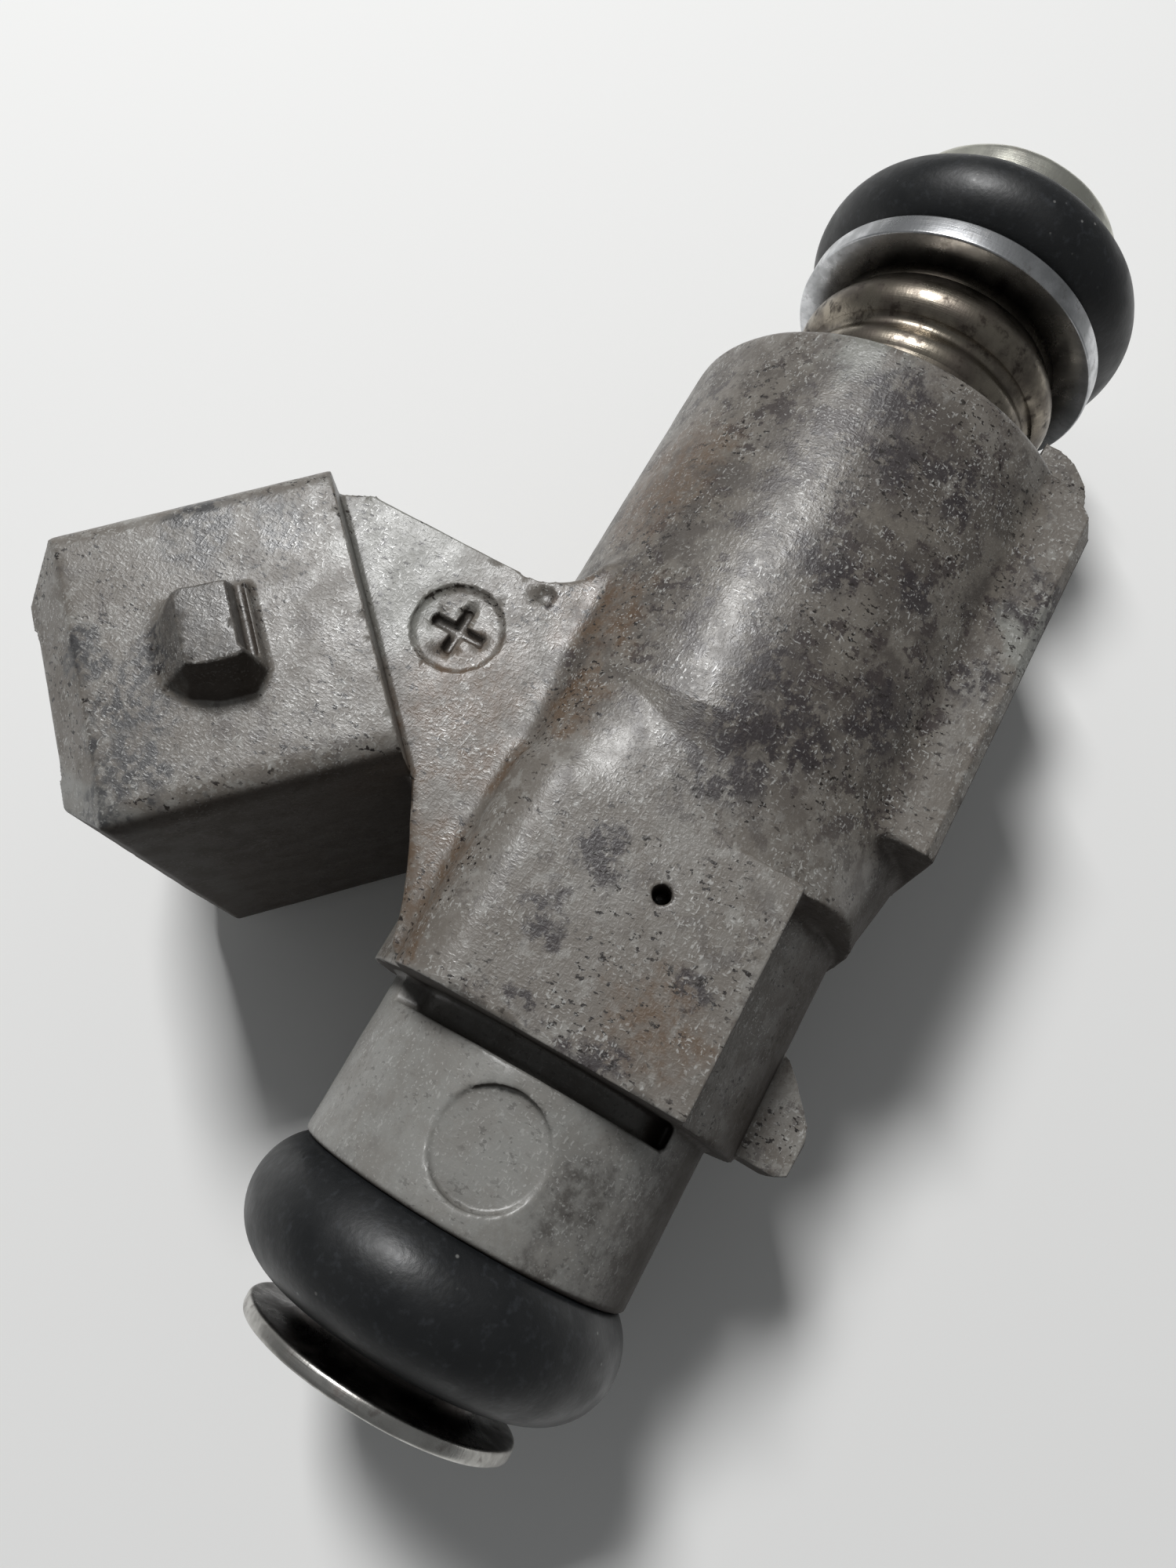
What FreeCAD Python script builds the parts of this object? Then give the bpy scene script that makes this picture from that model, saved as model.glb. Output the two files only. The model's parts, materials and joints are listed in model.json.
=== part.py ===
"""Port fuel injector with a moulded body and a two-pin connector, lying on its back.

The fuel axis is X: fuel enters at the flanged tube (-X) and sprays out at the tip (+X).
The origin is the centre of the inlet O-ring. The connector leans 45 degrees back towards the
inlet, in the XY plane. Everything but the moulding is turned about X. Sizes are in millimetres.
"""
import FreeCAD, Part
import math
import os

# O-rings: radius outside, half width of the round section, and the seat under each
SEAL_BAND = 1.2
INLET_SEAL_R = 7.3
INLET_SEAL_HALF = 2.54
NOZZLE_SEAL_R = 7.35
NOZZLE_SEAL_HALF = 2.2
NOZZLE_SEAL_X = 46.95

# Inlet tube, which is also the magnetic pole
TUBE_R = 3.5
TUBE_BORE_R = 2.7
POLE_BORE_R = 1.9
POLE_BORE_X = 14.0
POLE_TIP_R = 3.45
POLE_TIP_X = 28.5
POLE_FACE_X = 29.9
FLANGE_R = 5.33
FLANGE_X = -4.05
FLANGE_THICKNESS = 0.6

# Filter basket and adjusting sleeve in the tube
FILTER_X0 = -3.2
FILTER_COLLAR = 1.5
FILTER_X1 = 11.5
FILTER_R = 2.4
FILTER_PLUG = 1.0
FILTER_RIBS = 4
FILTER_RIB_WIDTH = 0.7
FILTER_HOOP_WIDTH = 0.6
MESH_R = 2.15
MESH_WALL = 0.15
SLEEVE_X0 = 15.5
SLEEVE_BORE_R = 1.1
SLEEVE_SLIT = 0.5

# Moulded body
NECK_R = 6.56
NECK_X = 1.95
PAD_X = 8.3
PAD_HALF_HEIGHT = 8.3
PAD_LOW_Y = -4.95
PAD_HIGH_Y = 5.8
BARREL_R = 8.6
BARREL_END_X = 36.65
LOWER_BARREL_R = 7.6
TAPER_START_X = 16.6
TAPER_END_X = 20.6
SHOULDER_LOW_SIDE = (7.85, 3.2)
SHOULDER_HIGH_SIDE = (5.8, 5.0)
SHOULDER_END_X = 22.0
SHOULDER_END_R = 8.4
PLATE_HALF_HEIGHT = 6.0
WING_Y = -8.6
LUG_HALF_HEIGHT = 1.5
EAR_HALF_HEIGHT = 2.0
NUB_HEIGHT = 1.7
NUB_NOTCH = 0.34
NECK_SLOT_WIDTH = 0.95
NECK_SLOT_DEPTH = 0.8

# Shallow marks of the mould, on the upper side
NECK_DISC_X = 4.74
NECK_DISC_R = 1.98
NECK_DISC_DEPTH = 0.37
WEB_DISC_X = 19.75
WEB_DISC_Y = 10.18
WEB_DISC_R = 1.7
MARK_DEPTH = 0.2
CROSS_LENGTHS = (1.9, 2.1)
CROSS_WIDTH = 0.36
VENT_X = 14.2
VENT_Y = -1.0
VENT_R = 0.32
VENT_DEPTH = 1.5

# Connector shroud: "out" runs from the body to the mouth, "across" is the thin direction
CONNECTOR_ANGLE = 45.0
SHROUD_BACK = -3.85
SHROUD_RIM = 6.0
SHROUD_MOUTH = 7.8
SHROUD_LOW = 16.2
SHROUD_HIGH = 27.7
SHROUD_HALF_HEIGHT = 8.3
SHROUD_EDGE_R = 1.0
SOCKET_FLOOR = -2.2
SOCKET_HALF_ACROSS = 3.9
SOCKET_HALF_HEIGHT = 6.6
SOCKET_CORNER_R = 1.6
CONNECTOR_MID = (SHROUD_LOW + SHROUD_HIGH) / 2

# Terminals
BLADE_THICKNESS = 0.8
BLADE_WIDTH = 2.8
BLADE_PITCH = 5.0
BLADE_TIP = 3.0
LEG_X = 18.9
LEG_WIDTH = 1.6
LEG_FOOT_Y = 6.2

# Coil pack
COIL_X0 = 16.9
COIL_X1 = 35.2
HOUSING_R = 7.7
HOUSING_WALL = 0.7
WASHER_THICKNESS = 1.2
BOBBIN_X0 = 18.3
BOBBIN_X1 = 33.4
BOBBIN_FLANGE = 1.2
BOBBIN_FLANGE_R = 6.95
BOBBIN_BARREL_R = 5.3
WINDING_R = 6.75
COIL_SEAL_R = 4.95
COIL_SEAL_LENGTH = 1.2

# Non-magnetic ring between the pole and the nozzle body
RING_R = 4.25
RING_X1 = 33.0

# Valve group
LIFT = 0.1
POLE_GAP = LIFT + 0.03
ARMATURE_R = 3.4
ARMATURE_CLEARANCE = 0.05
ARMATURE_X0 = POLE_FACE_X + POLE_GAP
ARMATURE_X1 = 36.6
SPRING_POCKET_R = 1.75
SPRING_POCKET_DEPTH = 1.3
NEEDLE_R = 1.0
NEEDLE_BORE_R = 0.55
NEEDLE_X0 = 32.5
PASSAGE_R = 0.4
PASSAGE_PLACE_R = 2.4
CROSS_HOLE_R = 0.35
CROSS_HOLE_X = 43.4
BALL_R = 1.5
BALL_X = 46.9
BALL_FLAT = 1.15
SEAT_CLEARANCE = 0.02
GUIDE_CLEARANCE = 0.03

# Return spring
SPRING_X0 = 21.5
SPRING_MEAN_R = 1.3
SPRING_WIRE_R = 0.25
SPRING_TURNS = 8
SPRING_END_GAP = 0.02

# Nozzle end
NOZZLE_TUBE_R = 5.25
NOZZLE_BEAD_R = 5.85
NOZZLE_FLANGE_X = 33.6
ARMATURE_BORE_X1 = 38.5
NEEDLE_BORE_CLEARANCE_R = 2.6
VALVE_BORE_X = 45.6
VALVE_BORE_R = 3.2
GUIDE_THICKNESS = 0.8
GUIDE_HOLE_PLACE_R = 2.35
SEAT_X0 = VALVE_BORE_X + GUIDE_THICKNESS
SEAT_X1 = 49.4
SEAT_POCKET_R = 2.2
PLATE_X1 = 49.65
FUEL_HOLE_R = 0.42
SPRAY_HOLE_R = 0.14
SPRAY_HOLE_PLACE_R = 0.24
RETAINER_BORE_R = 2.3
SEAL_SEAT_R = 4.0
WASHER_R = 6.8
WASHER_X0 = 43.76
WASHER_X1 = 44.75
NOZZLE_END_X = 50.2
CAP_R = 5.38
CAP_X0 = 49.15
CAP_X1 = 51.0
CAP_HOLE_R = 2.6

X_AXIS = FreeCAD.Vector(1, 0, 0)
Y_AXIS = FreeCAD.Vector(0, 1, 0)
Z_AXIS = FreeCAD.Vector(0, 0, 1)
ORIGIN = FreeCAD.Vector(0, 0, 0)

# How far a cutting shape reaches past the surface that it cuts
PAST = 1.0


# ---- building blocks -------------------------------------------------------------------

def turned(profile):
    """Solid turned about the fuel axis from a closed outline of (x, r) points."""
    points = [FreeCAD.Vector(x, r, 0) for x, r in profile]
    face = Part.Face(Part.makePolygon(points + points[:1]))
    return face.revolve(ORIGIN, X_AXIS, 360)


def turned_edges(edges):
    """Solid turned about the fuel axis from a closed loop of edges in the XY plane."""
    return Part.Face(Part.Wire(edges)).revolve(ORIGIN, X_AXIS, 360)


def disc(x0, x1, r):
    return Part.makeCylinder(r, x1 - x0, FreeCAD.Vector(x0, 0, 0), X_AXIS)


def ring(x0, x1, r_in, r_out):
    return disc(x0, x1, r_out).cut(disc(x0, x1, r_in))


def box(x0, x1, y0, y1, z0, z1):
    return Part.makeBox(x1 - x0, y1 - y0, z1 - z0, FreeCAD.Vector(x0, y0, z0))


def in_connector(shape):
    """Turns a shape drawn with X across and Y out into the connector's leaning frame."""
    return shape.rotate(ORIGIN, Z_AXIS, CONNECTOR_ANGLE)


def connector_point(across, out):
    """XY place of a point given in the connector's leaning frame."""
    angle = math.radians(CONNECTOR_ANGLE)
    x = across * math.cos(angle) - out * math.sin(angle)
    y = across * math.sin(angle) + out * math.cos(angle)
    return x, y


def arc_through(a, b, c):
    """Arc edge in the XY plane through three (x, y) points."""
    return Part.Arc(*[FreeCAD.Vector(x, y, 0) for x, y in (a, b, c)]).toShape()


def line(a, b):
    return Part.LineSegment(FreeCAD.Vector(a[0], a[1], 0), FreeCAD.Vector(b[0], b[1], 0)).toShape()


def plate(edges, half_height):
    """Flat plate with an outline in the XY plane, the same height above and below it."""
    wire = Part.Wire(edges)
    wire.translate(FreeCAD.Vector(0, 0, -half_height))
    return Part.Face(wire).extrude(FreeCAD.Vector(0, 0, 2 * half_height))


def closed_lines(points):
    return [line(a, b) for a, b in zip(points, points[1:] + points[:1])]


def edges_along(shape, direction):
    """Straight edges of a shape that run along a direction."""
    chosen = []
    for edge in shape.Edges:
        if edge.Curve.TypeId != "Part::GeomLine":
            continue
        if abs(abs(edge.tangentAt(edge.FirstParameter).dot(direction)) - 1) < 1e-6:
            chosen.append(edge)
    return chosen


def both_faces(shape):
    """The shape and its mirror image below the XY plane, as one solid or two."""
    return shape.fuse(shape.mirror(ORIGIN, Z_AXIS))


def rounded_seal(x, half_width, outer_r, seat_r):
    """O-ring squeezed on its seat: round outside, with a flat band where it seals."""
    half_band = SEAL_BAND / 2
    centre_r = outer_r - math.sqrt(half_width ** 2 - half_band ** 2)
    half_seat = math.sqrt(half_width ** 2 - (centre_r - seat_r) ** 2)
    seat = [(x - half_seat, seat_r), (x + half_seat, seat_r)]
    band = [(x - half_band, outer_r), (x + half_band, outer_r)]
    return turned_edges([
        line(seat[0], seat[1]),
        arc_through(seat[1], (x + half_width, centre_r), band[1]),
        line(band[1], band[0]),
        arc_through(band[0], (x - half_width, centre_r), seat[0]),
    ])


# ---- inlet end -------------------------------------------------------------------------

def inlet_tube():
    """Steel tube with a flared flange at the inlet and a pole face at the armature."""
    back = FLANGE_X + FLANGE_THICKNESS
    rim_r = FLANGE_R - 0.15
    rim_x = FLANGE_X + 0.25
    mouth_bevel = 0.35
    flare = 0.9
    return turned_edges([
        line((FLANGE_X, TUBE_BORE_R + mouth_bevel), (FLANGE_X, rim_r)),
        arc_through((FLANGE_X, rim_r), (rim_x, FLANGE_R), (back, rim_r)),
        line((back, rim_r), (back, TUBE_R + flare)),
        arc_through(
            (back, TUBE_R + flare),
            (back + flare * (1 - math.sqrt(0.5)), TUBE_R + flare * (1 - math.sqrt(0.5))),
            (back + flare, TUBE_R),
        ),
        line((back + flare, TUBE_R), (POLE_TIP_X, TUBE_R)),
        line((POLE_TIP_X, TUBE_R), (POLE_TIP_X, POLE_TIP_R)),
        line((POLE_TIP_X, POLE_TIP_R), (POLE_FACE_X, POLE_TIP_R)),
        line((POLE_FACE_X, POLE_TIP_R), (POLE_FACE_X, POLE_BORE_R)),
        line((POLE_FACE_X, POLE_BORE_R), (POLE_BORE_X, POLE_BORE_R)),
        line((POLE_BORE_X, POLE_BORE_R), (POLE_BORE_X, TUBE_BORE_R)),
        line((POLE_BORE_X, TUBE_BORE_R), (FLANGE_X + mouth_bevel, TUBE_BORE_R)),
        line((FLANGE_X + mouth_bevel, TUBE_BORE_R), (FLANGE_X, TUBE_BORE_R + mouth_bevel)),
    ])


def inlet_filter_frame():
    """Moulded filter basket: a collar pressed in the bore, four ribs and a closed end."""
    collar_end = FILTER_X0 + FILTER_COLLAR
    frame = ring(FILTER_X0, collar_end, MESH_R - MESH_WALL, TUBE_BORE_R)
    frame = frame.fuse(disc(FILTER_X1 - FILTER_PLUG, FILTER_X1, FILTER_R))
    middle = (collar_end + FILTER_X1 - FILTER_PLUG) / 2
    half_hoop = FILTER_HOOP_WIDTH / 2
    half_rib = FILTER_RIB_WIDTH / 2
    frame = frame.fuse(ring(middle - half_hoop, middle + half_hoop, MESH_R, FILTER_R))
    for number in range(FILTER_RIBS):
        rib = box(FILTER_X0, FILTER_X1, -half_rib, half_rib, MESH_R / 2, FILTER_R + PAST)
        rib.rotate(ORIGIN, X_AXIS, (number + 0.5) * 360 / FILTER_RIBS)
        frame = frame.fuse(rib.common(ring(FILTER_X0, FILTER_X1, MESH_R, FILTER_R)))
    return frame.removeSplitter()


def inlet_filter_mesh():
    """Fine gauze sleeve inside the basket's ribs."""
    collar_end = FILTER_X0 + FILTER_COLLAR
    return ring(collar_end, FILTER_X1 - FILTER_PLUG, MESH_R - MESH_WALL, MESH_R)


def inlet_o_ring():
    """Inlet seal, pressed flat where it meets the end of the neck."""
    seal = rounded_seal(0, INLET_SEAL_HALF, INLET_SEAL_R, TUBE_R)
    return seal.common(disc(-INLET_SEAL_HALF - PAST, NECK_X, INLET_SEAL_R + PAST))


def adjusting_sleeve():
    """Slit sleeve pressed into the pole bore; how deep it sits sets the spring force."""
    sleeve = ring(SLEEVE_X0, SPRING_X0, SLEEVE_BORE_R, POLE_BORE_R)
    half_slit = SLEEVE_SLIT / 2
    return sleeve.cut(box(SLEEVE_X0, SPRING_X0, 0, POLE_BORE_R + PAST, -half_slit, half_slit))


# ---- moulded body ----------------------------------------------------------------------

def shroud():
    """Connector shell: rounded block with a 45 degree bevel round its mouth."""
    tall = SHROUD_HALF_HEIGHT
    block = box(SHROUD_LOW, SHROUD_HIGH, SHROUD_BACK, SHROUD_MOUTH, -tall, tall)
    block = block.makeFillet(SHROUD_EDGE_R, edges_along(block, Y_AXIS))
    bevel = SHROUD_MOUTH - SHROUD_RIM
    spread = SHROUD_RIM - SHROUD_BACK
    funnel = Part.makeWedge(
        SHROUD_LOW - spread, SHROUD_BACK, -tall - spread,
        -tall + bevel, SHROUD_LOW + bevel,
        SHROUD_HIGH + spread, SHROUD_MOUTH, tall + spread,
        tall - bevel, SHROUD_HIGH - bevel,
    )
    return in_connector(block.common(funnel))


def socket():
    """Blind cavity of the connector, with rounded corners."""
    low = CONNECTOR_MID - SOCKET_HALF_ACROSS
    high = CONNECTOR_MID + SOCKET_HALF_ACROSS
    mouth = SHROUD_MOUTH + PAST
    cavity = box(low, high, SOCKET_FLOOR, mouth, -SOCKET_HALF_HEIGHT, SOCKET_HALF_HEIGHT)
    cavity = cavity.makeFillet(SOCKET_CORNER_R, edges_along(cavity, Y_AXIS))
    return in_connector(cavity)


def latch_nub():
    """Ramped catch for the plug's wire clip, on the wide face of the shroud."""
    root = [
        (20.7, 3.5), (19.9, 2.7), (19.5, 1.6), (19.5, 0.2),
        (20.3, -0.35), (23.8, -0.35), (23.8, 3.0), (22.5, 3.5),
    ]
    top = [
        (20.5, 2.1), (20.35, 1.7), (20.3, 1.1), (20.3, 0.4),
        (20.4, 0.15), (23.1, 0.15), (23.2, 1.8), (23.1, 2.1),
    ]
    sunk = 0.2
    face_z = SHROUD_HALF_HEIGHT
    loops = []
    for outline, z in ((root, face_z - sunk), (top, face_z + NUB_HEIGHT)):
        points = [FreeCAD.Vector(across, out, z) for across, out in outline]
        loops.append(Part.makePolygon(points + points[:1]))
    nub = Part.makeLoft(loops, True, True)
    notch_z = face_z + NUB_HEIGHT / 4
    notch = box(20.6, 24.0, -0.1, -0.1 + NUB_NOTCH, notch_z, notch_z + NUB_HEIGHT)
    return in_connector(nub.cut(notch))


def web():
    """Thick plate between the barrel and the connector, with swept corners."""
    back_top = connector_point(SHROUD_HIGH, SHROUD_BACK)
    back_low = connector_point(SHROUD_LOW, SHROUD_BACK)
    inside_top = connector_point(SHROUD_HIGH, SHROUD_BACK + PAST)
    inside_low = connector_point(SHROUD_LOW, SHROUD_BACK + PAST)
    return plate([
        line((25.5, 5.0), (24.8, 6.9)),
        arc_through((24.8, 6.9), (23.35, 7.65), (22.8, 9.3)),
        line((22.8, 9.3), (22.9, 15.6)),
        line((22.9, 15.6), back_top),
        line(back_top, inside_top),
        line(inside_top, inside_low),
        line(inside_low, back_low),
        arc_through(back_low, (11.1, 7.15), (9.1, 6.35)),
        arc_through((9.1, 6.35), (8.6, 6.05), (8.4, 5.5)),
        line((8.4, 5.5), (PAD_X, 4.6)),
        line((PAD_X, 4.6), (25.5, 5.0)),
    ], PLATE_HALF_HEIGHT)


def wing():
    """Stiffening rib on the barrel's far side, with a bevelled long edge."""
    block = plate([
        line((20.3, -5.0), (20.3, WING_Y)),
        line((20.3, WING_Y), (34.6, WING_Y)),
        arc_through((34.6, WING_Y), (35.7, -7.7), (36.3, -6.1)),
        line((36.3, -6.1), (36.3, -5.0)),
        line((36.3, -5.0), (20.3, -5.0)),
    ], PLATE_HALF_HEIGHT)
    long_edges = [e for e in edges_along(block, X_AXIS) if e.Vertexes[0].Y < WING_Y / 2 - 2.5]
    bevel = 0.4
    return block.makeChamfer(bevel, long_edges)


def side_lug():
    """Small hooked lug on the parting line beside the neck."""
    return plate(closed_lines([
        (13.0, -6.5), (12.5, -7.7), (12.1, -8.15), (10.75, -9.3), (10.15, -9.5),
        (8.8, -9.4), (8.55, -8.95), (8.6, -7.7), (8.4, -6.4), (8.6, -5.0), (13.0, -5.0),
    ]), LUG_HALF_HEIGHT)


def locating_ear():
    """Rounded ear past the end of the barrel, beside the nozzle tube."""
    return plate([
        line((35.5, -5.9), (40.6, -5.9)),
        arc_through((40.6, -5.9), (39.9, -7.7), (38.3, -8.5)),
        line((38.3, -8.5), (35.5, -8.5)),
        line((35.5, -8.5), (35.5, -5.9)),
    ], EAR_HALF_HEIGHT)


def pad():
    """Flat-faced block at the foot of the barrel, rounded towards the connector."""
    block = box(PAD_X, TAPER_START_X + 0.1, PAD_LOW_Y, PAD_HIGH_Y, -PAD_HALF_HEIGHT, PAD_HALF_HEIGHT)
    rounded = [e for e in edges_along(block, X_AXIS) if e.Vertexes[0].Y > 0]
    return block.makeFillet(PAD_HALF_HEIGHT - PLATE_HALF_HEIGHT, rounded)


def shoulder():
    """Blend from the squarish section at the end of the pad to the round barrel."""
    squarish = []
    circular = []
    steps = 48
    for step in range(steps):
        angle = 2 * math.pi * step / steps
        across = math.cos(angle)
        up = math.sin(angle)
        half_width, power = SHOULDER_HIGH_SIDE if across > 0 else SHOULDER_LOW_SIDE
        spread = abs(across / half_width) ** power + abs(up / PAD_HALF_HEIGHT) ** power
        r = spread ** (-1 / power)
        squarish.append(FreeCAD.Vector(TAPER_START_X, r * across, r * up))
        end = FreeCAD.Vector(SHOULDER_END_X, SHOULDER_END_R * across, SHOULDER_END_R * up)
        circular.append(end)
    wires = []
    for points in (squarish, circular):
        curve = Part.BSplineCurve()
        curve.interpolate(Points=points, PeriodicFlag=True)
        wires.append(Part.Wire(curve.toShape()))
    return Part.makeLoft(wires, True, True)


def barrel():
    """Turned part of the moulding: neck, lower barrel, taper and main barrel."""
    edge_r = 0.5
    edge_mid = edge_r * (1 - math.sqrt(0.5))
    neck_edge = 0.15
    corner = (BARREL_END_X - edge_r, BARREL_R)
    end = (BARREL_END_X, BARREL_R - edge_r)
    middle = (BARREL_END_X - edge_mid, BARREL_R - edge_mid)
    return turned_edges([
        line((NECK_X, 0), (NECK_X, NECK_R - neck_edge)),
        line((NECK_X, NECK_R - neck_edge), (NECK_X + neck_edge, NECK_R)),
        line((NECK_X + neck_edge, NECK_R), (PAD_X, NECK_R)),
        line((PAD_X, NECK_R), (PAD_X, LOWER_BARREL_R)),
        line((PAD_X, LOWER_BARREL_R), (TAPER_START_X, LOWER_BARREL_R)),
        line((TAPER_START_X, LOWER_BARREL_R), (TAPER_START_X + 0.3, LOWER_BARREL_R + 0.35)),
        line((TAPER_START_X + 0.3, LOWER_BARREL_R + 0.35), (TAPER_END_X, BARREL_R)),
        line((TAPER_END_X, BARREL_R), corner),
        arc_through(corner, middle, end),
        line(end, (BARREL_END_X, 0)),
        line((BARREL_END_X, 0), (NECK_X, 0)),
    ])


def moulding_marks():
    """Shallow recesses left by the mould: two ejector discs, a cross slot and a vent hole."""
    disc_floor = FreeCAD.Vector(NECK_DISC_X, 0, NECK_R - NECK_DISC_DEPTH)
    neck_disc = Part.makeCylinder(NECK_DISC_R, PAST, disc_floor)
    web_floor = FreeCAD.Vector(WEB_DISC_X, WEB_DISC_Y, PLATE_HALF_HEIGHT - MARK_DEPTH)
    marks = both_faces(neck_disc).fuse(Part.makeCylinder(WEB_DISC_R, PAST, web_floor))
    half_width = CROSS_WIDTH / 2
    for number, length in enumerate(CROSS_LENGTHS):
        bar = box(-length / 2, length / 2, -half_width, half_width, -MARK_DEPTH, MARK_DEPTH / 2)
        bar = bar.makeFillet(0.95 * half_width, edges_along(bar, Z_AXIS))
        bar.rotate(ORIGIN, Z_AXIS, 90 * number)
        bar.translate(web_floor)
        marks = marks.fuse(bar)
    vent_floor = FreeCAD.Vector(VENT_X, VENT_Y, PAD_HALF_HEIGHT - VENT_DEPTH)
    return marks.fuse(Part.makeCylinder(VENT_R, VENT_DEPTH + PAST, vent_floor))


def neck_slot():
    """Narrow moulding pocket in the neck, along the foot of each pad face."""
    groove = ring(PAD_X - NECK_SLOT_WIDTH, PAD_X, NECK_R - NECK_SLOT_DEPTH, NECK_R + PAST)
    return groove.common(both_faces(box(0, PAD_X, PAD_LOW_Y, NECK_R + PAST, 3.2, NECK_R + PAST)))


def overmould():
    """One-piece moulding, open where the metal parts and the terminals are."""
    solid = barrel()
    for piece in (shoulder(), pad(), web(), wing(), side_lug(), locating_ear(), shroud()):
        solid = solid.fuse(piece)
    solid = solid.fuse(both_faces(latch_nub()))
    solid = solid.cut(neck_slot())
    solid = solid.cut(moulding_marks())
    solid = solid.cut(socket())
    solid = solid.cut(disc(NECK_X - PAST, COIL_X0, TUBE_R))
    solid = solid.cut(disc(COIL_X0, COIL_X1, HOUSING_R - HOUSING_WALL))
    solid = solid.cut(coil_housing())
    solid = solid.cut(disc(COIL_X1 - PAST / 2, WASHER_X0, NOZZLE_TUBE_R))
    for side in (1, -1):
        solid = solid.cut(terminal_blade(side))
    return solid.removeSplitter()


# ---- electrical parts ------------------------------------------------------------------

def terminal_blade(side):
    """Flat pin in the socket and, at its root, a narrower leg down to the bobbin."""
    half = BLADE_THICKNESS / 2
    z_mid = side * BLADE_PITCH / 2
    across = (CONNECTOR_MID - half, CONNECTOR_MID + half)
    root = CONNECTOR_MID - LEG_X / math.sin(math.radians(CONNECTOR_ANGLE))
    pin = box(across[0], across[1], root, BLADE_TIP, z_mid - BLADE_WIDTH / 2, z_mid + BLADE_WIDTH / 2)
    tip_edges = [e for e in edges_along(pin, Z_AXIS) if e.Vertexes[0].Y > 0]
    tip_bevel = 0.6 * half
    pin = in_connector(pin.makeChamfer(tip_bevel, tip_edges))
    bend_y = connector_point(CONNECTOR_MID, root)[1]
    leg_z = z_mid - LEG_WIDTH / 2
    leg = box(LEG_X - half, LEG_X + half, LEG_FOOT_Y, bend_y, leg_z, leg_z + LEG_WIDTH)
    elbow = Part.makeCylinder(half, LEG_WIDTH, FreeCAD.Vector(LEG_X, bend_y, leg_z))
    return pin.fuse([leg, elbow]).removeSplitter()


def coil_housing():
    """Steel shell round the coil, slotted at the inlet end for the terminals."""
    shell = ring(COIL_X0, COIL_X1, HOUSING_R - HOUSING_WALL, HOUSING_R)
    slot_half = BLADE_PITCH / 2 + LEG_WIDTH + 0.1
    slot_end = LEG_X + 1.0
    return shell.cut(box(COIL_X0, slot_end, HOUSING_R / 2, HOUSING_R + PAST, -slot_half, slot_half))


def flux_washer():
    """Steel washer that closes the magnetic circuit at the inlet end of the coil."""
    return ring(COIL_X0, COIL_X0 + WASHER_THICKNESS, TUBE_R, HOUSING_R - HOUSING_WALL)


def coil_bobbin():
    """Spool with two flanges, a seal pocket at each end and two terminal pockets."""
    first = BOBBIN_X0 + BOBBIN_FLANGE
    last = BOBBIN_X1 - BOBBIN_FLANGE
    bobbin = turned([
        (BOBBIN_X0, COIL_SEAL_R), (BOBBIN_X0, BOBBIN_FLANGE_R), (first, BOBBIN_FLANGE_R),
        (first, BOBBIN_BARREL_R), (last, BOBBIN_BARREL_R), (last, BOBBIN_FLANGE_R),
        (BOBBIN_X1, BOBBIN_FLANGE_R), (BOBBIN_X1, COIL_SEAL_R),
        (BOBBIN_X1 - COIL_SEAL_LENGTH, COIL_SEAL_R), (BOBBIN_X1 - COIL_SEAL_LENGTH, RING_R),
        (POLE_TIP_X, RING_R), (POLE_TIP_X, TUBE_R),
        (BOBBIN_X0 + COIL_SEAL_LENGTH, TUBE_R), (BOBBIN_X0 + COIL_SEAL_LENGTH, COIL_SEAL_R),
    ])
    for side in (1, -1):
        bobbin = bobbin.cut(terminal_blade(side))
    return bobbin


def coil_winding():
    """Wound copper, its outside waved by the turns of the last layer."""
    first = BOBBIN_X0 + BOBBIN_FLANGE
    last = BOBBIN_X1 - BOBBIN_FLANGE
    turns = 16
    pitch = (last - first) / turns
    valley_r = WINDING_R - 0.15
    outline = [(first, BOBBIN_BARREL_R), (first, valley_r)]
    for turn in range(turns):
        outline.append((first + (turn + 0.5) * pitch, WINDING_R))
        outline.append((first + (turn + 1) * pitch, valley_r))
    outline.append((last, BOBBIN_BARREL_R))
    return turned(outline)


def upper_coil_seal():
    """Rubber ring between the bobbin and the inlet tube."""
    return ring(BOBBIN_X0, BOBBIN_X0 + COIL_SEAL_LENGTH, TUBE_R, COIL_SEAL_R)


def lower_coil_seal():
    """Rubber ring between the bobbin and the spacer ring."""
    return ring(BOBBIN_X1 - COIL_SEAL_LENGTH, BOBBIN_X1, RING_R, COIL_SEAL_R)


# ---- valve -----------------------------------------------------------------------------

def spacer_ring():
    """Non-magnetic ring that joins the pole to the nozzle body and guides the armature."""
    return ring(POLE_TIP_X, RING_X1, ARMATURE_R + ARMATURE_CLEARANCE, RING_R)


def armature():
    """Soft-iron plunger with a spring pocket, a needle bore and four fuel passages."""
    plunger = disc(ARMATURE_X0, ARMATURE_X1, ARMATURE_R)
    plunger = plunger.cut(disc(ARMATURE_X0, ARMATURE_X0 + SPRING_POCKET_DEPTH, SPRING_POCKET_R))
    plunger = plunger.cut(disc(ARMATURE_X0, ARMATURE_X1, NEEDLE_R))
    for number in range(4):
        start = FreeCAD.Vector(ARMATURE_X0, 0, PASSAGE_PLACE_R)
        passage = Part.makeCylinder(PASSAGE_R, ARMATURE_X1 - ARMATURE_X0, start, X_AXIS)
        passage.rotate(ORIGIN, X_AXIS, number * 90)
        plunger = plunger.cut(passage)
    return plunger


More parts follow.
